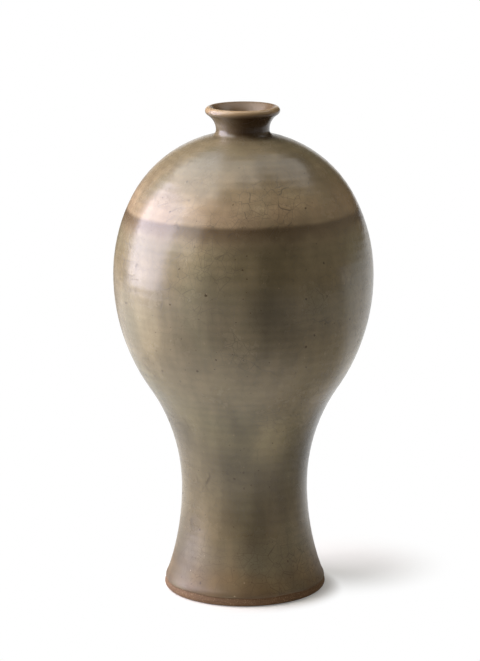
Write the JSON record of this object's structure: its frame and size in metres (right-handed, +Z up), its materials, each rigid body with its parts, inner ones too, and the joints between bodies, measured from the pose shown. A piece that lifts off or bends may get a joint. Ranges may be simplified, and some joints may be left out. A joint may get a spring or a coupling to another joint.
{
  "type": "meiping vase",
  "caption": "Tall glazed stoneware bottle vase with a small flared mouth, broad rounded shoulder, narrow waist and spreading foot, to stand on a table and hold a branch of blossom.",
  "frame": {"origin": "middle of the standing face, on the vase's axis", "axes": "+Z up the vase's axis to the mouth; X and Y are any two level directions, because the vase is round"},
  "size_m": [0.1754, 0.1754, 0.331],
  "materials": {
    "stoneware": "bare stoneware, toasted brown where it shows at the foot",
    "joining_slip": "fired slip, the same clay body, hidden in the joints",
    "outer_glaze": "glossy olive-brown glaze with fine crackle and specks",
    "thin_glaze": "thin brown glaze inside and under the foot"
  },
  "bodies": {
    "root": {"foot_section": "stoneware", "lower_body": "stoneware", "shoulder_section": "stoneware", "mouth_collar": "stoneware", "waist_slip_joint": "joining_slip", "belly_slip_joint": "joining_slip", "neck_slip_joint": "joining_slip", "outer_glaze": "outer_glaze", "inner_glaze": "thin_glaze", "base_glaze": "thin_glaze"}
  },
  "joints": []
}
